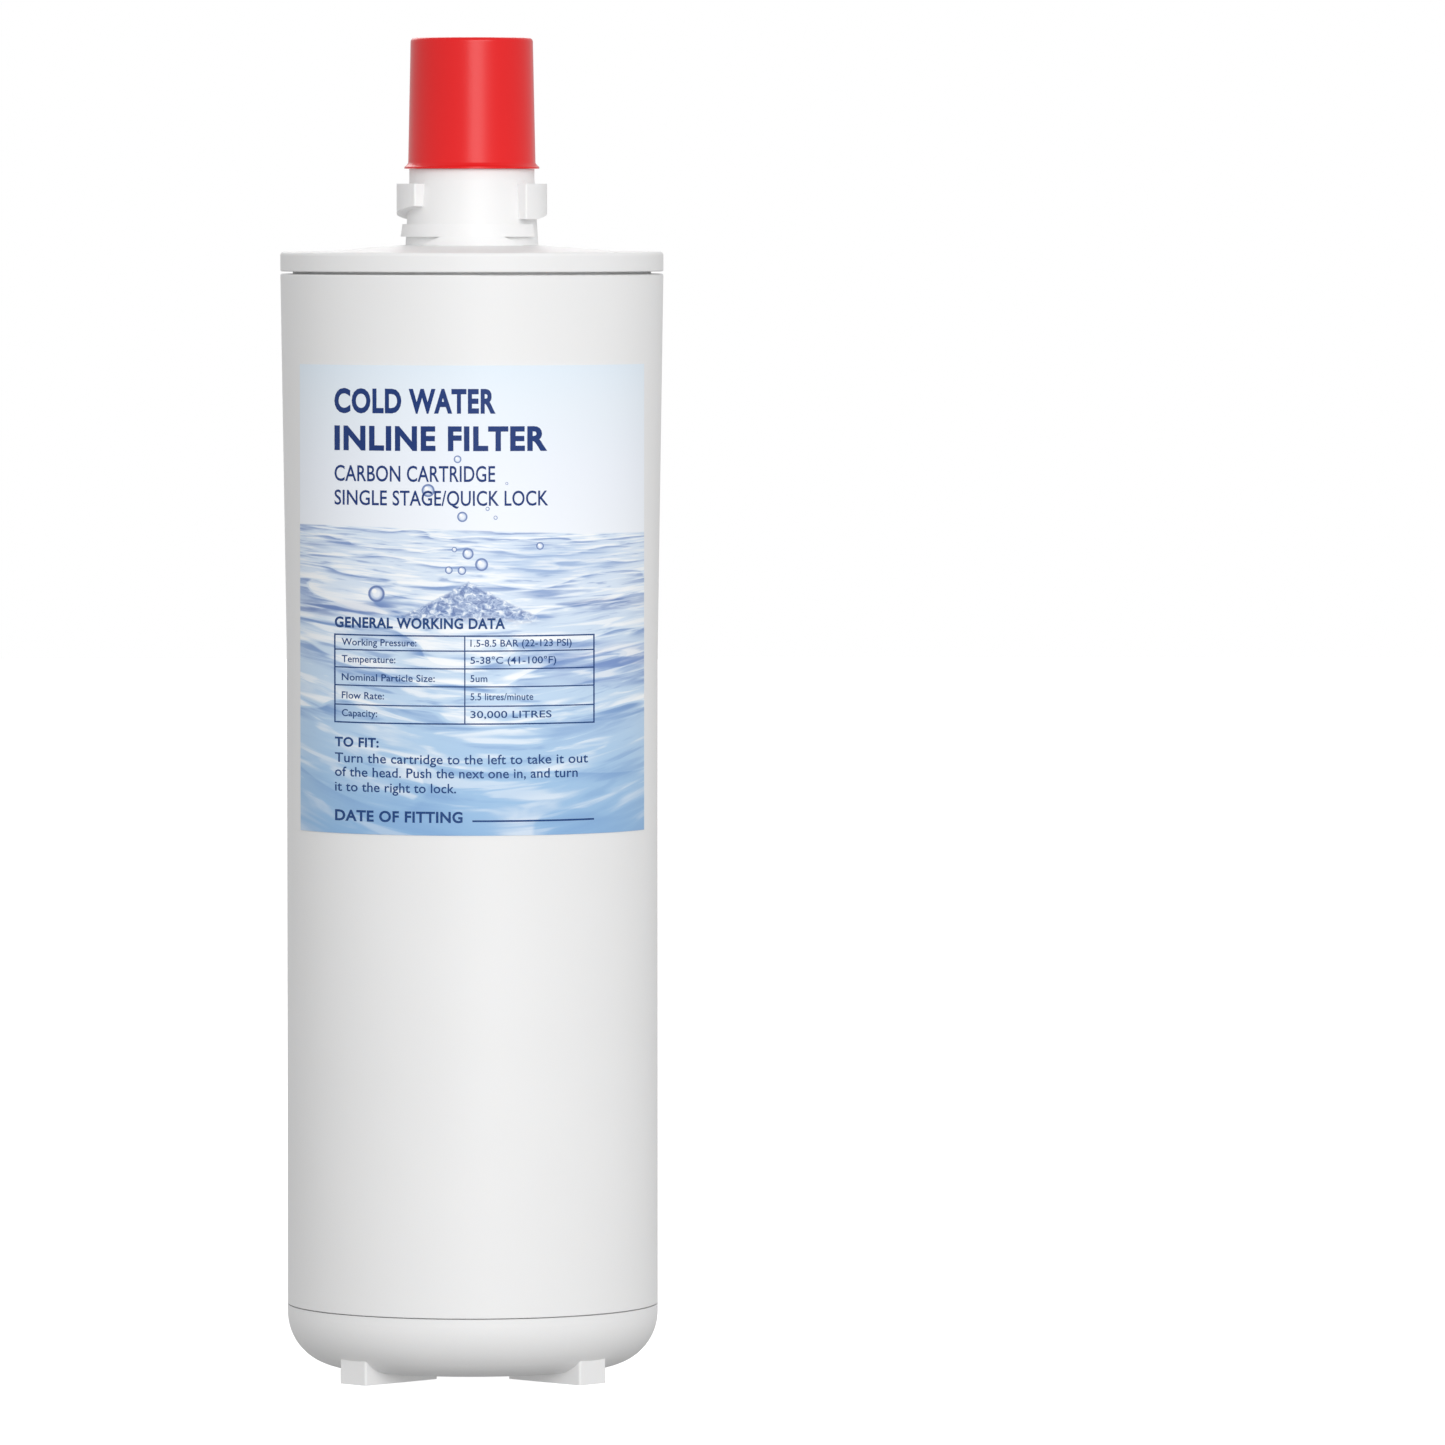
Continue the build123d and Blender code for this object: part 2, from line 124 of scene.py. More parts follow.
def add(tree, kind, inputs=None, stops=None, out=None, **settings):
    """Adds a node with its settings and links, and gives it back, or only the output that out names.

    Each input is a value, a colour's hex or a socket to join. Stops are a colour ramp's.
    """
    made = tree.nodes.new("ShaderNode" + kind)
    for name, value in settings.items():
        setattr(made, name, value)
    for name, value in (inputs or {}).items():
        if isinstance(value, bpy.types.NodeSocket):
            tree.links.new(value, made.inputs[name])
        else:
            made.inputs[name].default_value = srgb(value) if isinstance(value, str) else value
    if stops:
        ramp = made.color_ramp.elements
        while len(ramp) < len(stops):
            ramp.new(0.5)
        for element, (place, colour) in zip(ramp, stops):
            element.position = place
            element.color = srgb(colour)
    return made if out is None else made.outputs[out]


def material(name):
    """A new node material: the material, its tree, its shader and the point being shaded in metres."""
    made = bpy.data.materials.new(name)
    made.use_nodes = True
    tree = made.node_tree
    shader = tree.nodes["Principled BSDF"]
    place = add(tree, "TexCoord", out="Object")
    return made, tree, shader, place


def deselect():
    """Leaves object mode with nothing selected."""
    if bpy.context.object and bpy.context.object.mode != "OBJECT":
        bpy.ops.object.mode_set(mode="OBJECT")
    bpy.ops.object.select_all(action="DESELECT")


def only(obj):
    """Selects one object and makes it the active one."""
    deselect()
    obj.select_set(True)
    bpy.context.view_layer.objects.active = obj


def pick(obj, test):
    """Leaves an object in edit mode with those faces selected whose centre passes a test."""
    only(obj)
    bpy.ops.object.mode_set(mode="EDIT")
    bpy.ops.mesh.select_mode(type="FACE")
    bpy.ops.mesh.select_all(action="DESELECT")
    bpy.ops.object.mode_set(mode="OBJECT")
    for face in obj.data.polygons:
        face.select = test(face.center)
    bpy.ops.object.mode_set(mode="EDIT")


def settle(obj, name):
    """Puts an object's place into its mesh, and names both."""
    only(obj)
    bpy.ops.object.transform_apply(location=True, rotation=True, scale=True)
    obj.name = name
    obj.data.name = name
    return obj


def dress(obj, made):
    """Gives an object one material."""
    obj.data.materials.clear()
    obj.data.materials.append(made)


# ---------------------------------------------------------------- label and print, as shapes
def wall_former():
    """A smooth copy of the canister's wall behind the label. It is taken away at the end."""
    low = label_foot - former_margin
    high = label_head + former_margin
    top_r = wall_r + (mouth_r - wall_r) * (high - taper_from) / (mouth_z - taper_from)
    deselect()
    bpy.ops.mesh.primitive_circle_add(vertices=former_sides, radius=wall_r * MM, location=(0, 0, low * MM))
    former = bpy.context.object
    bpy.ops.object.mode_set(mode="EDIT")
    for step, grow in ((taper_from - low, 1.0), (high - taper_from, top_r / wall_r)):
        bpy.ops.mesh.select_mode(type="EDGE")
        bpy.ops.mesh.extrude_region_move(TRANSFORM_OT_translate={"value": (0, 0, step * MM)})
        bpy.ops.transform.resize(value=(grow, grow, 1))
    bpy.ops.mesh.select_all(action="SELECT")
    bpy.ops.mesh.normals_make_consistent(inside=False)
    return settle(former, "wall_former")


def upright(obj, x, h, wide, tall):
    """Stands flat work up in front of the label, with its origin at x across and h above the label's foot."""
    obj.rotation_euler = (radians(90), 0, 0)
    obj.scale = (wide * MM, tall * MM, 1)
    obj.location = (x * MM, -in_front * MM, (label_foot + h) * MM)
    return settle(obj, obj.name)


def lay_on_wall(obj, former, stand_off, thickness):
    """Projects flat work back onto the wall and gives it a thickness, outwards."""
    wrap = obj.modifiers.new("lay", "SHRINKWRAP")
    wrap.target = former
    wrap.wrap_method = "PROJECT"
    wrap.wrap_mode = "ABOVE_SURFACE"
    wrap.use_project_y = True
    wrap.offset = stand_off * MM
    wall = obj.modifiers.new("thickness", "SOLIDIFY")
    wall.thickness = thickness * MM
    wall.offset = 1.0
    only(obj)
    for modifier in list(obj.modifiers):
        bpy.ops.object.modifier_apply(modifier=modifier.name)
    bpy.ops.object.shade_smooth_by_angle(angle=radians(crease))


def cut_upright(obj):
    """Cuts flat work with evenly spaced upright planes, so that it can follow the wall's curve."""
    only(obj)
    bpy.ops.object.mode_set(mode="EDIT")
    x = print_left
    while x < print_right + cut_every:
        bpy.ops.mesh.select_all(action="SELECT")
        bpy.ops.mesh.bisect(plane_co=(x * MM, 0, 0), plane_no=(1, 0, 0))
        x += cut_every
    bpy.ops.object.mode_set(mode="OBJECT")


def label_sheet(former):
    """The label: one rectangular sheet of film on the front of the wall."""
    deselect()
    bpy.ops.mesh.primitive_grid_add(x_subdivisions=sheet_columns, y_subdivisions=sheet_rows, size=1)
    sheet = bpy.context.object
    middle_x = (label_left + label_right) / 2
    upright(sheet, middle_x, label_tall / 2, label_right - label_left, label_tall)
    bpy.ops.object.mode_set(mode="EDIT")
    bpy.ops.mesh.select_all(action="SELECT")
    bpy.ops.mesh.bisect(plane_co=(0, 0, taper_from * MM), plane_no=(0, 0, 1))
    bpy.ops.object.mode_set(mode="OBJECT")
    lay_on_wall(sheet, former, 0.0, film)
    return settle(sheet, "label_sheet")


def capital_height():
    """How tall a capital is in text of size 1."""
    deselect()
    bpy.ops.object.text_add()
    letter = bpy.context.object
    letter.data.body = "H"
    bpy.ops.object.convert(target="MESH")
    height = letter.dimensions.y
    bpy.data.objects.remove(letter)
    return height


def line_of_print(words, x, h, capital, wide, weight):
    """One line of print, its capitals and its whole width as given. Weight thickens the strokes."""
    deselect()
    bpy.ops.object.text_add()
    line = bpy.context.object
    line.data.body = words
    line.data.offset = weight
    line.data.space_character = 1.0 + spread * weight
    line.data.resolution_u = 4
    bpy.ops.object.convert(target="MESH")
    low = min(v.co.x for v in line.data.vertices)
    high = max(v.co.x for v in line.data.vertices)
    across = wide / (high - low)
    return upright(line, x - low * across, h, across, capital / unit_capital)


def ruled_table():
    """The table's rules: a plate inset for its frame, cut at each row and at the column, and emptied."""
    low, high = table_rows[-1], table_rows[0]
    half = frame_rule / 2
    deselect()
    bpy.ops.mesh.primitive_plane_add(size=1)
    table = bpy.context.object
    middle_x = (print_left + print_right) / 2
    upright(table, middle_x, (low + high) / 2, print_right - print_left + frame_rule, high - low + frame_rule)
    pick(table, lambda centre: True)
    bpy.ops.mesh.inset(thickness=(frame_rule - inner_rule / 2) * MM)
    bpy.ops.object.mode_set(mode="OBJECT")

    def inside(centre):
        across = (print_left + half) * MM < centre.x < (print_right - half) * MM
        up = (label_foot + low + half) * MM < centre.z < (label_foot + high - half) * MM
        return across and up

    cuts = [((0, 0, (label_foot + row) * MM), (0, 0, 1)) for row in table_rows[1:-1]]
    cuts.append(((table_column * MM, 0, 0), (1, 0, 0)))
    for place, across in cuts:
        pick(table, inside)
        bpy.ops.mesh.bisect(plane_co=place, plane_no=across)
        bpy.ops.object.mode_set(mode="OBJECT")
    pick(table, inside)
    bpy.ops.mesh.inset(thickness=inner_rule / 2 * MM, use_individual=True)
    bpy.ops.mesh.delete(type="FACE")
    bpy.ops.object.mode_set(mode="OBJECT")
    return table


def date_rule():
    """The rule that the date is written on, with its two ends cut square."""
    deselect()
    bpy.ops.mesh.primitive_plane_add(size=1)
    return upright(bpy.context.object, print_right / 2, date_rule_h, print_right, date_rule_t)


def printed(name, flats, former, made):
    """Joins flat print of one ink, lays it on the label and fixes it to the cartridge."""
    only(flats[0])
    for flat in flats:
        flat.select_set(True)
    bpy.ops.object.join()
    work = settle(bpy.context.object, name)
    cut_upright(work)
    lay_on_wall(work, former, film + ink_proud, ink)
    dress(work, made)
    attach(work, "cartridge")


# ---------------------------------------------------------------- materials
def moulded(name, colour, darker, roughness, grain_mm, waxy=0.0, depth_mm=1.2, shine=0.5, drawn=1.0):
    """A moulded thermoplastic: a faint drift of tone along its flow, and the fine texture of its mould.

    Waxy is how much light wanders below the surface, which makes the whites of a polyolefin look soft.
    Drawn, under 1, stretches the mould's texture upwards, as where a core was polished along its length.
    """
    made, tree, shader, place = material(name)
    flow = add(tree, "TexNoise", {"Vector": place, "Scale": 1 / (35 * MM), "Detail": 2.0})
    tone = add(tree, "Mix", {"Factor": flow.outputs["Fac"], "A": colour, "B": darker}, data_type="RGBA")
    along = add(tree, "Mapping", {"Vector": place, "Scale": (1.0, 1.0, drawn)}, out=0)
    grain = add(tree, "TexNoise", {"Vector": along, "Scale": 1 / (grain_mm * MM), "Detail": 1.0})
    bump = add(tree, "Bump", {"Height": grain.outputs["Fac"], "Strength": 0.05, "Distance": 0.012 * MM})
    span = {"Value": grain.outputs["Fac"], "To Min": roughness - 0.03, "To Max": roughness + 0.03}
    gloss = add(tree, "MapRange", span)
    tree.links.new(tone.outputs["Result"], shader.inputs["Base Color"])
    tree.links.new(bump.outputs["Normal"], shader.inputs["Normal"])
    tree.links.new(gloss.outputs["Result"], shader.inputs["Roughness"])
    shader.inputs["IOR"].default_value = 1.5
    shader.inputs["Specular IOR Level"].default_value = shine
    if waxy:
        shader.inputs["Subsurface Weight"].default_value = waxy
        shader.inputs["Subsurface Radius"].default_value = (1.0, 0.9, 0.8)
        shader.inputs["Subsurface Scale"].default_value = depth_mm * MM
    return made


def screen_ink(name, colour, worn):
    """Screen-printed ink on film: a solid blue that thins a little where the mesh laid less of it."""
    made, tree, shader, place = material(name)
    cover = add(tree, "TexNoise", {"Vector": place, "Scale": 1 / (0.5 * MM), "Detail": 2.0})
    tone = add(tree, "ValToRGB", {"Fac": cover.outputs["Fac"]}, [(0.35, colour), (0.75, worn)])
    sheen = add(tree, "MapRange", {"Value": cover.outputs["Fac"], "To Min": 0.42, "To Max": 0.55})
    tree.links.new(tone.outputs["Color"], shader.inputs["Base Color"])
    tree.links.new(sheen.outputs["Result"], shader.inputs["Roughness"])
    shader.inputs["Specular IOR Level"].default_value = 0.25
    return made


def seal_rubber():
    """Moulded nitrile rubber: near black, with a dull skin and a trace of silicone grease."""
    made, tree, shader, place = material("moulded_nitrile_rubber")
    grease = add(tree, "TexNoise", {"Vector": place, "Scale": 1 / (3 * MM), "Detail": 3.0})
    tone = add(tree, "ValToRGB", {"Fac": grease.outputs["Fac"]}, [(0.3, "#17181a"), (0.7, "#26282b")])
    sheen = add(tree, "MapRange", {"Value": grease.outputs["Fac"], "To Min": 0.28, "To Max": 0.6})
    skin = add(tree, "TexNoise", {"Vector": place, "Scale": 1 / (0.15 * MM)})
    bump = add(tree, "Bump", {"Height": skin.outputs["Fac"], "Strength": 0.2, "Distance": 0.02 * MM})
    tree.links.new(tone.outputs["Color"], shader.inputs["Base Color"])
    tree.links.new(sheen.outputs["Result"], shader.inputs["Roughness"])
    tree.links.new(bump.outputs["Normal"], shader.inputs["Normal"])
    return made


def bound_carbon():
    """Extruded activated carbon: black grains of about 0.4 mm, sintered with a plastic binder."""
    made, tree, shader, place = material("extruded_activated_carbon")
    grains = add(tree, "TexVoronoi", {"Vector": place, "Scale": 1 / (0.4 * MM)})
    tone = add(tree, "ValToRGB", {"Fac": grains.outputs["Color"]}, [(0.1, "#0e0e0f"), (0.9, "#2b2b2d")])
    rough = add(tree, "MapRange", {"Value": grains.outputs["Distance"], "To Min": 0.6, "To Max": 0.95})
    relief = {"Height": grains.outputs["Distance"], "Strength": 0.8, "Distance": 0.15 * MM}
    bump = add(tree, "Bump", relief, invert=True)
    tree.links.new(tone.outputs["Color"], shader.inputs["Base Color"])
    tree.links.new(rough.outputs["Result"], shader.inputs["Roughness"])
    tree.links.new(bump.outputs["Normal"], shader.inputs["Normal"])
    return made


def spunbond():
    """Thermally bonded polypropylene fibre: matt white, with fibres and a grid of small bond points."""
    made, tree, shader, place = material("spunbond_polypropylene_fibre")
    lie = add(tree, "Mapping", {"Vector": place, "Scale": (1.0, 1.0, 0.25)})
    strands = {"Vector": lie.outputs[0], "Scale": 1 / (0.25 * MM), "Detail": 4.0, "Distortion": 1.5}
    fibres = add(tree, "TexNoise", strands)
    bonds = add(tree, "TexVoronoi", {"Vector": place, "Scale": 1 / (1.2 * MM), "Randomness": 0.2})
    pit = add(tree, "MapRange", {"Value": bonds.outputs["Distance"], "From Min": 0.15, "From Max": 0.35})
    height = add(tree, "Math", {0: fibres.outputs["Fac"], 1: pit.outputs["Result"]}, operation="MULTIPLY")
    tone = add(tree, "ValToRGB", {"Fac": height.outputs[0]}, [(0.0, "#c9cac6"), (0.6, "#f0f0ee")])
    bump = add(tree, "Bump", {"Height": height.outputs[0], "Strength": 0.7, "Distance": 0.1 * MM})
    tree.links.new(tone.outputs["Color"], shader.inputs["Base Color"])
    tree.links.new(bump.outputs["Normal"], shader.inputs["Normal"])
    shader.inputs["Roughness"].default_value = 0.85
    shader.inputs["Sheen Weight"].default_value = 0.3
    return made


def hot_melt():
    """Set hot-melt glue: clear amber with a glossy, slightly rippled skin."""
    made, tree, shader, place = material("set_hot_melt_glue")
    ripple = add(tree, "TexNoise", {"Vector": place, "Scale": 1 / (4 * MM), "Detail": 1.0})
    tone = add(tree, "ValToRGB", {"Fac": ripple.outputs["Fac"]}, [(0.3, "#c09a4e"), (0.7, "#d8b87a")])
    bump = add(tree, "Bump", {"Height": ripple.outputs["Fac"], "Strength": 0.4, "Distance": 0.3 * MM})
    tree.links.new(tone.outputs["Color"], shader.inputs["Base Color"])
    tree.links.new(bump.outputs["Normal"], shader.inputs["Normal"])
    shader.inputs["Roughness"].default_value = 0.22
    shader.inputs["Subsurface Weight"].default_value = 0.3
    shader.inputs["Subsurface Radius"].default_value = (1.0, 0.6, 0.3)
    shader.inputs["Subsurface Scale"].default_value = 1.0 * MM
    return made


def bead_glass():
    """Phosphate glass beads: pale, clear and a little frosted where they have rubbed together."""
    made, tree, shader, place = material("phosphate_bead_glass")
    rub = add(tree, "TexNoise", {"Vector": place, "Scale": 1 / (1.5 * MM), "Detail": 3.0})
    tone = add(tree, "ValToRGB", {"Fac": rub.outputs["Fac"]}, [(0.3, "#d7e8ea"), (0.7, "#eef6f6")])
    span = {"Value": rub.outputs["Fac"], "From Min": 0.4, "From Max": 0.7, "To Min": 0.05, "To Max": 0.35}
    frost = add(tree, "MapRange", span)
    tree.links.new(tone.outputs["Color"], shader.inputs["Base Color"])
    tree.links.new(frost.outputs["Result"], shader.inputs["Roughness"])
    shader.inputs["Transmission Weight"].default_value = 0.85
    shader.inputs["IOR"].default_value = 1.51
    return made


# ---------------------------------------------------------------- the label's picture
# Each drop is its place across, its height above the label's foot and its radius.
drops = (
    (-3.1, 80.5, 0.85),
    (-9.4, 73.8, 1.45),
    (-2.1, 68.2, 1.15),
    (3.3, 69.9, 0.45),
    (5.0, 68.0, 0.45),
    (7.4, 75.3, 0.32),
    (14.5, 61.9, 0.85),
    (-3.8, 61.2, 0.6),
    (-0.9, 60.3, 1.25),
    (2.0, 58.0, 1.45),
    (-2.2, 56.7, 0.95),
    (-5.0, 56.8, 0.85),
    (-20.5, 51.6, 1.85),
)


def coat(tree, under, tint, *edges):
    """A coat of one tint over what is printed so far. Its cover is the product of its edges.

    Each edge is a value, the two levels of it that the coat fades between, and the cover at those levels.
    """
    cover = 1.0
    for value, low, high, at_low, at_high in edges:
        inputs = {"Value": value, "From Min": low, "From Max": high, "To Min": at_low, "To Max": at_high}
        edge = add(tree, "MapRange", inputs, out="Result", interpolation_type="SMOOTHSTEP")
        cover = add(tree, "Math", {0: edge, 1: cover}, out=0, operation="MULTIPLY")
    return add(tree, "Mix", {"Factor": cover, "A": under, "B": tint}, out="Result", data_type="RGBA")


def soft_oval(tree, flat, x, h, wide, tall):
    """The edge of a coat that keeps to an oval of the picture, and is full at the oval's middle."""
    shrink = {"Vector": flat, "Location": (-x / wide, 0, -h / tall), "Scale": (1 / wide, 0, 1 / tall)}
    off = add(tree, "Mapping", shrink, out=0)
    return add(tree, "VectorMath", {0: off, 1: off}, out="Value", operation="DOT_PRODUCT"), 1.0, 0.0, 0.0, 1.0


def printed_sea(tree, flat, x, below):
    """The sea: rows of waves that close up with distance, each dark behind its crest and paler away from it.

    Below is how far a point lies under the waterline. The sea's own place is across and down, in waves.
    """
    stretch = add(tree, "Math", {0: below, 1: 0.42, 2: wave_width}, out=0, operation="MULTIPLY_ADD")
    across = add(tree, "Math", {0: x, 1: stretch}, out=0, operation="DIVIDE")
    square = add(tree, "Math", {0: x, 1: x}, out=0, operation="MULTIPLY")
    bow = add(tree, "Math", {0: square, 1: 0.00045}, out=0, operation="MULTIPLY")
    nearer = add(tree, "Math", {0: below, 1: 0.12, 2: 1.0}, out=0, operation="MULTIPLY_ADD")
    nearer = add(tree, "Math", {0: nearer, 1: 2.718}, out=0, operation="LOGARITHM")
    down = add(tree, "Math", {0: nearer, 1: 5.0, 2: bow}, out=0, operation="MULTIPLY_ADD")
    sea = add(tree, "CombineXYZ", {"X": across, "Y": down}, out=0)
    swell_form = {"Vector": sea, "Scale": 0.75, "Detail": 1.0, "Roughness": 0.4, "Distortion": 0.3}
    swell = add(tree, "TexNoise", swell_form, out="Fac")
    near_sea = add(tree, "Mapping", {"Vector": sea, "Scale": (1.6, 4.2, 1.0)}, out=0)
    ripple_form = {"Vector": near_sea, "Scale": 1.0, "Detail": 3.0, "Roughness": 0.5, "Distortion": 0.5}
    ripple = add(tree, "TexNoise", ripple_form, out="Fac")
    rows = add(tree, "Math", {0: down, 1: 0.85}, out=0, operation="MULTIPLY")
    rows = add(tree, "Math", {0: swell, 1: 2.6, 2: rows}, out=0, operation="MULTIPLY_ADD")
    rows = add(tree, "Math", {0: rows}, out=0, operation="FRACT")

    # the water deepens towards the foot of the label, and its waves get fainter
    share = add(tree, "Math", {0: below, 1: sea_depth}, out=0, operation="DIVIDE")
    far_tints = ((0.0, "#d8e6f6"), (0.2, "#dce9f8"), (0.42, "#cbdff3"))
    near_tints = ((0.62, "#b9d4ee"), (0.8, "#a5c7e7"), (1.0, "#8eb6dd"))
    water = add(tree, "ValToRGB", {"Fac": share}, far_tints + near_tints, out="Color")
    shades = ((0.0, "#7f98ca"), (0.5, "#7397cb"), (1.0, "#7ba3d3"))
    shade = add(tree, "ValToRGB", {"Fac": share}, shades, out="Color")
    calm = (share, 0.5, 1.0, 1.0, 0.38)
    back = ((rows, 0.0, 0.05, 0.0, 1.0), (rows, 0.5, 0.05, 0.0, 1.0))
    crest = ((rows, 0.5, 0.9, 0.0, 1.0), (rows, 1.0, 0.97, 0.0, 1.0))
    foam = "#fcfeff"
    water = coat(tree, water, shade, *back, (ripple, 0.62, 0.40, 0.0, 0.85), calm)
    water = coat(tree, water, shade, (ripple, 0.42, 0.30, 0.0, 0.6), calm)
    water = coat(tree, water, foam, (ripple, 0.54, 0.66, 0.0, 0.65), calm)
    water = coat(tree, water, foam, *crest, (ripple, 0.40, 0.58, 0.0, 0.85), calm)
    # broader patches: a dark swell low on the right, two dark bars far out, and a pale calm under the sky.
    # Each is its tint, its oval's middle and half axes, and the ripple's levels and its cover at them.
    patches = (
        ("#7b95ca", (31.0, 36.5, 21.0, 6.0), (0.62, 0.35, 0.15, 0.9)),
        ("#6d86bc", (-29.0, 48.3, 19.0, 2.2), (0.6, 0.38, 0.2, 0.9)),
        ("#6d86bc", (32.0, 49.3, 15.0, 1.6), (0.6, 0.38, 0.2, 0.9)),
        ("#b1c9e8", (17.0, 58.5, 19.0, 5.0), (0.3, 0.6, 0.65, 0.3)),
    )
    for tint, oval, broken in patches:
        water = coat(tree, water, tint, soft_oval(tree, flat, *oval), (ripple, *broken))
    return water


def printed_splash(tree, water, flat, x, h):
    """A low hill of broken water under the drops, laid over the sea."""
    off = add(tree, "Math", {0: x, 1: splash_x}, out=0, operation="SUBTRACT")
    off = add(tree, "Math", {0: off}, out=0, operation="ABSOLUTE")
    slope = {0: off, 1: -1 / splash_half, 2: 1.0}
    hill = add(tree, "Math", slope, out=0, operation="MULTIPLY_ADD", use_clamp=True)
    hill = add(tree, "Math", {0: hill, 1: 1.15}, out=0, operation="POWER")
    lie = add(tree, "Mapping", {"Vector": flat, "Scale": (0.8, 1.0, 1.15)}, out=0)
    broken_form = {"Vector": lie, "Scale": 0.85, "Detail": 4.0, "Roughness": 0.6, "Distortion": 0.9}
    broken = add(tree, "TexNoise", broken_form, out="Fac")
    ragged = add(tree, "Math", {0: broken, 1: 2.4, 2: splash_foot}, out=0, operation="MULTIPLY_ADD")
    top = add(tree, "Math", {0: hill, 1: splash_rise, 2: ragged}, out=0, operation="MULTIPLY_ADD")
    under = add(tree, "Math", {0: top, 1: h}, out=0, operation="SUBTRACT")
    tints = ((0.36, "#5f76ab"), (0.46, "#879cc6"), (0.55, "#b9cae4"), (0.66, "#f4f8fd"))
    foam = add(tree, "ValToRGB", {"Fac": broken}, tints, out="Color")
    edges = ((under, 0.0, 0.6, 0.0, 0.92), (h, 44.3, 47.6, 0.0, 1.0), (hill, 0.02, 0.16, 0.0, 1.0))
    return coat(tree, water, foam, *edges)


def printed_drops(tree, under, flat):
    """The drops: each has a dark rim, a pale middle and a white glint up on its left."""
    near = glint = 9.0  # the distance of the nearest drop's middle and of its glint, in that drop's radii
    for x, h, size in drops:
        away = add(tree, "VectorMath", {0: flat, 1: (x, 0, h)}, out="Value", operation="DISTANCE")
        away = add(tree, "Math", {0: away, 1: size}, out=0, operation="DIVIDE")
        near = add(tree, "Math", {0: near, 1: away}, out=0, operation="MINIMUM")
        spot = (x - 0.25 * size, 0, h + 0.3 * size)
        away = add(tree, "VectorMath", {0: flat, 1: spot}, out="Value", operation="DISTANCE")
        away = add(tree, "Math", {0: away, 1: size}, out=0, operation="DIVIDE")
        glint = add(tree, "Math", {0: glint, 1: away}, out=0, operation="MINIMUM")
    under = coat(tree, under, "#c3d1ea", (near, 0.95, 0.85, 0.0, 0.8))
    under = coat(tree, under, "#f4f8fe", (near, 0.62, 0.30, 0.0, 0.85))
    under = coat(tree, under, "#5f78b0", (near, 1.02, 0.90, 0.0, 0.92), (near, 0.58, 0.80, 0.0, 1.0))
    return coat(tree, under, "#ffffff", (glint, 0.34, 0.2, 0.0, 1.0))


def picture_film():
    """Gravure-printed label film: a pale sky over rippled water, a low splash and a few drops.

    The picture keeps its place across and up the label, and doesn't change with depth, so it runs true
    round the wall.
    """
    made, tree, shader, place = material("gravure_printed_film")
    plane = {"Vector": place, "Location": (0, 0, -label_foot), "Scale": (1 / MM, 0, 1 / MM)}
    flat = add(tree, "Mapping", plane, out=0)
    axes = add(tree, "SeparateXYZ", {"Vector": flat})
    x, h = axes.outputs["X"], axes.outputs["Z"]
    height = add(tree, "Math", {0: h, 1: label_tall}, out=0, operation="DIVIDE")
    tints = ((0.62, "#f3f7fd"), (0.78, "#eff4fc"), (0.92, "#e9f1f9"), (1.0, "#e3eef8"))
    sky = add(tree, "ValToRGB", {"Fac": height}, tints, out="Color")
    # the waterline sinks gently to the right; depth is measured down from it
    turn = {0: x, 1: 1 / swing_length, 2: swing_start / swing_length}
    swing = add(tree, "Math", turn, out=0, operation="MULTIPLY_ADD")
    swing = add(tree, "Math", {0: swing}, out=0, operation="COSINE")
    line = add(tree, "Math", {0: swing, 1: waterline_swing, 2: waterline}, out=0, operation="MULTIPLY_ADD")
    depth = add(tree, "Math", {0: line, 1: h}, out=0, operation="SUBTRACT")
    below = add(tree, "Math", {0: depth, 1: 0.0}, out=0, operation="MAXIMUM")
    water = printed_splash(tree, printed_sea(tree, flat, x, below), flat, x, h)
    colour = coat(tree, sky, water, (depth, -0.15, 0.25, 0.0, 1.0))
    colour = printed_drops(tree, colour, flat)
    skin = add(tree, "TexNoise", {"Vector": place, "Scale": 1 / (1.0 * MM), "Detail": 2.0}, out="Fac")
    sheen = add(tree, "MapRange", {"Value": skin, "To Min": 0.38, "To Max": 0.46}, out="Result")
    tree.links.new(colour, shader.inputs["Base Color"])
    tree.links.new(sheen, shader.inputs["Roughness"])
    shader.inputs["Specular IOR Level"].default_value = 0.3
    return made


# ---------------------------------------------------------------- stage
def make_camera():
    """The camera, level with the neck and looking a little down."""
    data = bpy.data.cameras.new("camera")
    data.sensor_width = camera_sensor
    data.lens = camera_lens
    data.clip_end = 100.0
    camera = bpy.data.objects.new("camera", data)
    camera.location = (0, -camera_distance * MM, camera_height * MM)
    camera.rotation_euler = (radians(90 - camera_pitch), 0, radians(-camera_yaw))
    scene.collection.objects.link(camera)
    scene.camera = camera


def softbox(name, azimuth, elevation, distance, wide, tall, power):
    """An area light that looks at the middle of the cartridge. Azimuth 0 is the camera's side.

    Its distance, width and height are in metres and its power in watts.
    """
    data = bpy.data.lights.new(name, "AREA")
    data.shape = "RECTANGLE"
    data.size = wide
    data.size_y = tall
    data.energy = power
    lamp = bpy.data.objects.new(name, data)
    scene.collection.objects.link(lamp)
    lamp.rotation_euler = (radians(90 - elevation), 0, radians(azimuth))
    back = lamp.rotation_euler.to_matrix().col[2]
    low, high = cad_box
    lamp.location = (low + high) / 2 + back * distance


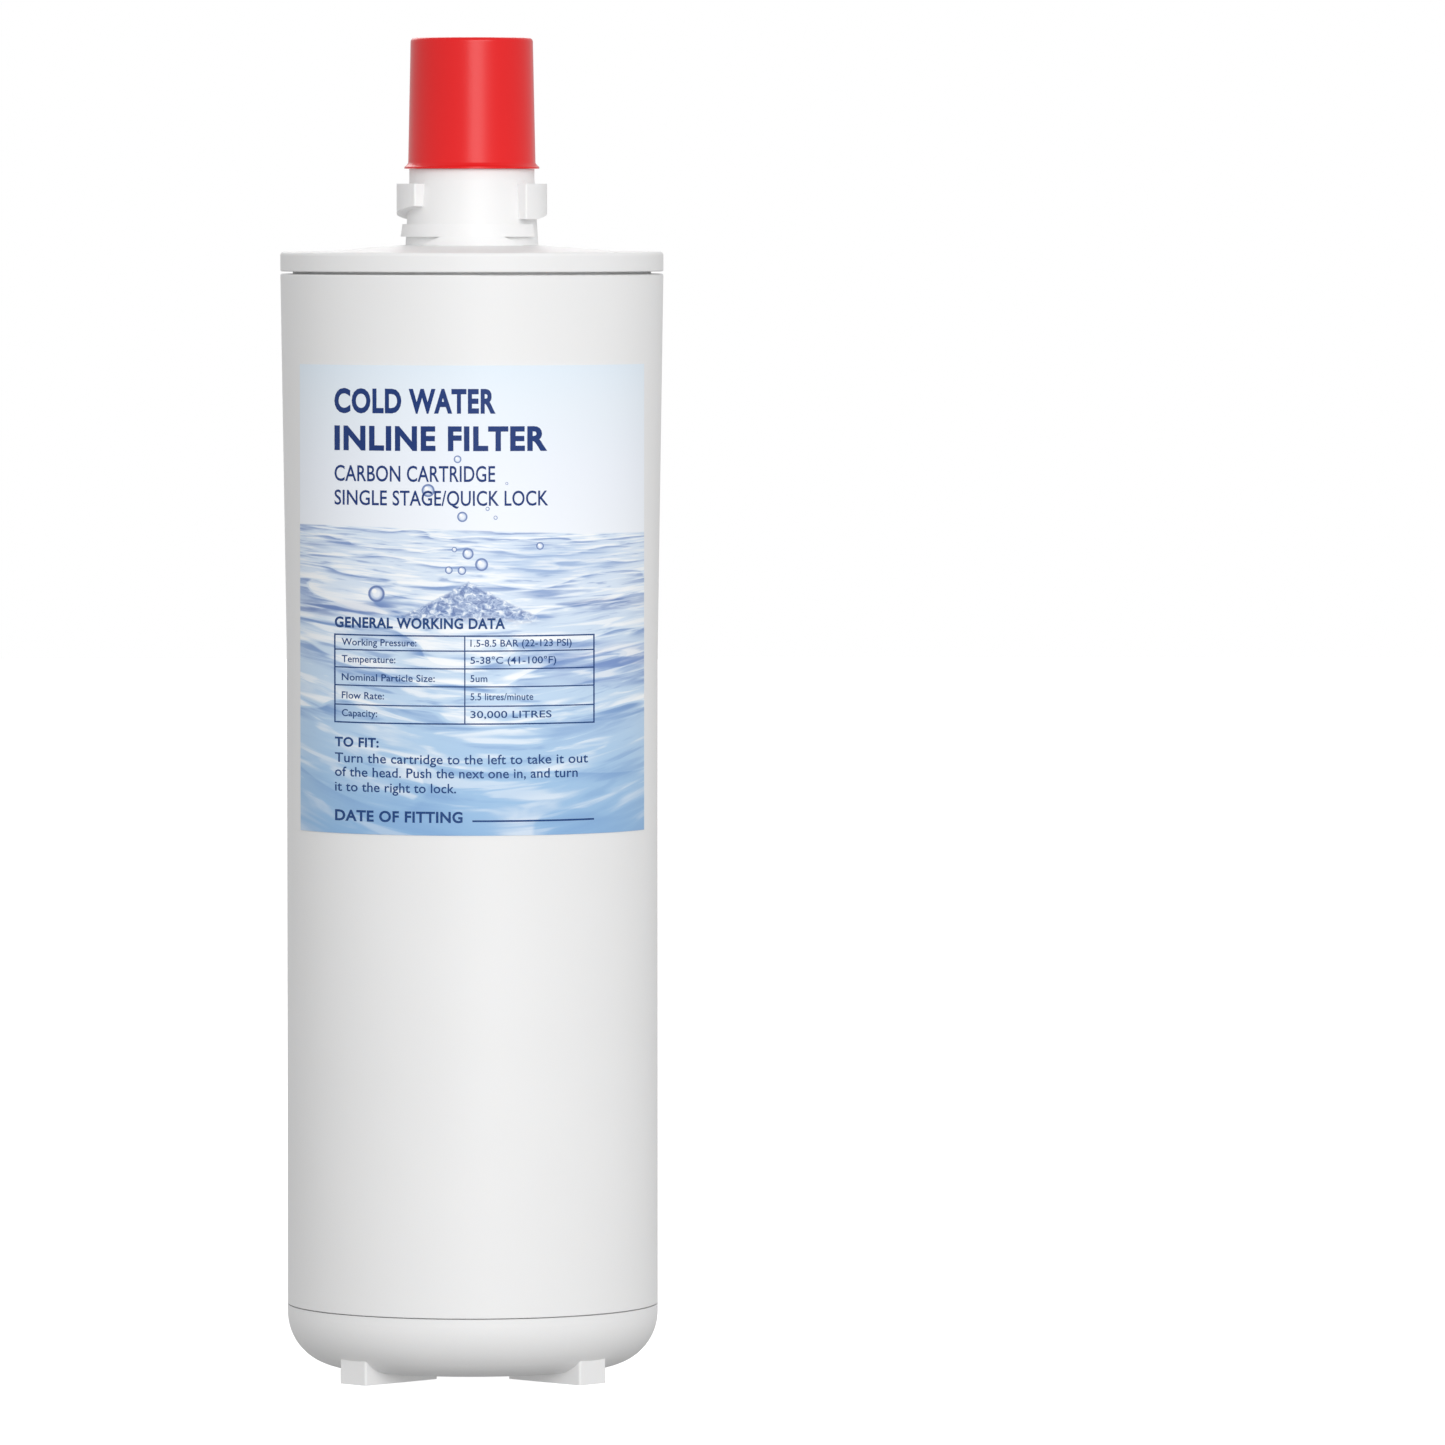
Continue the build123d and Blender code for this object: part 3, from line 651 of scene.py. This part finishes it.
def make_world():
    """A white surround for the eye. For the light, a dimmer room, brightest at the cartridge's own level."""
    world = bpy.data.worlds.new("studio")
    scene.world = world
    world.use_nodes = True
    tree = world.node_tree
    tree.nodes.clear()
    direction = add(tree, "TexCoord", out="Generated")
    axes = add(tree, "SeparateXYZ", {"Vector": direction})
    level = add(tree, "MapRange", {"Value": axes.outputs["Z"], "From Min": -1.0})
    walls = add(
        tree,
        "ValToRGB",
        {"Fac": level.outputs["Result"]},
        [(0.12, "#b4b4b4"), (0.46, "#ffffff"), (0.62, "#ffffff"), (1.0, "#dcdcdc")],
    )
    room = add(tree, "Background", {"Color": walls.outputs["Color"], "Strength": 0.70})
    white = add(tree, "Background", {"Color": "#ffffff", "Strength": 1.0})
    seen = add(tree, "LightPath", out="Is Camera Ray")
    mix = add(tree, "MixShader", {0: seen, 1: room.outputs[0], 2: white.outputs[0]})
    add(tree, "OutputWorld", {"Surface": mix.outputs[0]})


def make_floor():
    """A plain white floor that keeps a faint contact shadow."""
    deselect()
    bpy.ops.mesh.primitive_plane_add(size=8.0, location=(0, 0, 0))
    floor = settle(bpy.context.object, "floor")
    made, tree, shader, place = material("white_floor_paint")
    wear = add(tree, "TexNoise", {"Vector": place, "Scale": 2.0})
    sheen = add(tree, "MapRange", {"Value": wear.outputs["Fac"], "To Min": 0.58, "To Max": 0.6})
    tree.links.new(sheen.outputs["Result"], shader.inputs["Roughness"])
    shader.inputs["Base Color"].default_value = srgb("#f2f2f2")
    shader.inputs["Emission Color"].default_value = srgb("#ffffff")
    shader.inputs["Emission Strength"].default_value = 0.75
    dress(floor, made)
    floor.visible_diffuse = False
    floor.visible_glossy = False


# ---------------------------------------------------------------- the cartridge's own materials
housing = moulded("moulded_white_polypropylene", "#eeeeee", "#eaeaea", 0.45, 0.9, 0.12)
natural = moulded("natural_polypropylene", "#e6e6df", "#dcdcd3", 0.38, 0.7, 0.35, 2.5)
mesh_plastic = moulded("extruded_polyethylene_net", "#e2e6e6", "#d3dada", 0.35, 0.5, 0.3)
cap_red = moulded("moulded_red_polyethylene", "#e51014", "#dd0e12", 0.29, 1.6, shine=0.42, drawn=0.05)
fibre = spunbond()
glue = hot_melt()
rubber = seal_rubber()
finishes = {
    "dust_cap": cap_red,
    "head_closure": housing,
    "canister_tube": housing,
    "base_bowl": housing,
    "inlet_oring": rubber,
    "outlet_oring": rubber,
    "element_top_cap": natural,
    "outlet_spout": natural,
    "element_bottom_cap": natural,
    "core_tube": natural,
    "scale_cup": natural,
    "scale_cup_lid": natural,
    "carbon_block": bound_carbon(),
    "fines_liner": fibre,
    "prefilter_wrap": fibre,
    "cup_screen": fibre,
    "outer_netting": mesh_plastic,
    "top_bond_ring": glue,
    "bottom_bond_ring": glue,
    "scale_beads": bead_glass(),
}
for node, finish in finishes.items():
    dress(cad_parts[node], finish)

# ---------------------------------------------------------------- label and print, in place
former = wall_former()
label = label_sheet(former)
picture = picture_film()
dress(label, picture)
dress(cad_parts["front_label"], picture)
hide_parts("front_label")
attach(label, "cartridge")

# Each line of print is its words, its left end, its height above the label's foot, the height of its
# capitals, its whole width and its weight.
unit_capital = capital_height()
bold, medium, light = 0.038, 0.030, 0.009
heading = (
    ("COLD WATER", print_left, 90.5, 4.75, 34.4, bold),
    ("INLINE FILTER", print_left, 82.5, 4.77, 45.4, bold),
    ("CARBON CARTRIDGE", print_left, 75.7, 3.3, 34.3, light),
    ("SINGLE STAGE/QUICK LOCK", print_left, 70.6, 3.1, 45.6, light),
)
table_words = (
    ("GENERAL WORKING DATA", print_left, 44.3, 2.13, 36.4, medium),
    ("Working Pressure:", -27.9, 40.45, 1.45, 16.0, light),
    ("Temperature:", -27.9, 36.8, 1.45, 11.5, light),
    ("Nominal Particle Size:", -27.9, 32.9, 1.45, 19.9, light),
    ("Flow Rate:", -27.9, 29.0, 1.45, 9.05, light),
    ("Capacity:", -27.9, 25.2, 1.45, 7.6, light),
    ("1.5-8.5 BAR (22-123 PSI)", -0.4, 40.45, 1.45, 21.6, light),
    ("5-38°C (41-100°F)", -0.4, 36.8, 1.45, 18.3, light),
    ("5um", -0.4, 32.9, 1.45, 3.6, light),
    ("5.5 litres/minute", -0.4, 29.0, 1.45, 13.4, light),
    ("30,000 LITRES", -0.4, 25.2, 1.45, 17.3, light),
)
fitting_words = (
    ("TO FIT:", print_left, 18.7, 1.9, 9.4, medium),
    ("Turn the cartridge to the left to take it out", print_left, 15.3, 1.98, 54.1, light),
    ("of the head. Push the next one in, and turn", print_left, 12.3, 1.98, 51.9, light),
    ("it to the right to lock.", print_left, 9.1, 1.98, 25.9, light),
    ("DATE OF FITTING", print_left, 2.8, 2.2, 27.3, medium),
)
navy = screen_ink("navy_screen_ink", "#183573", "#1f3b79")
blue = screen_ink("blue_screen_ink", "#1c3f77", "#2a4f86")
printed("heading_print", [line_of_print(*line) for line in heading], former, navy)
table_work = [ruled_table()] + [line_of_print(*line) for line in table_words]
printed("table_print", table_work, former, blue)
fitting_work = [date_rule()] + [line_of_print(*line) for line in fitting_words]
printed("fitting_print", fitting_work, former, blue)
bpy.data.objects.remove(former)

make_camera()
make_world()
make_floor()
softbox("key", 8, 3, 2.9, 1.25, 1.0, 11.5)
softbox("front_high", 14, 24, 3.0, 2.0, 1.4, 38)
softbox("back", 188, 28, 3.0, 2.0, 1.4, 18)
scene.view_settings.view_transform = "Standard"
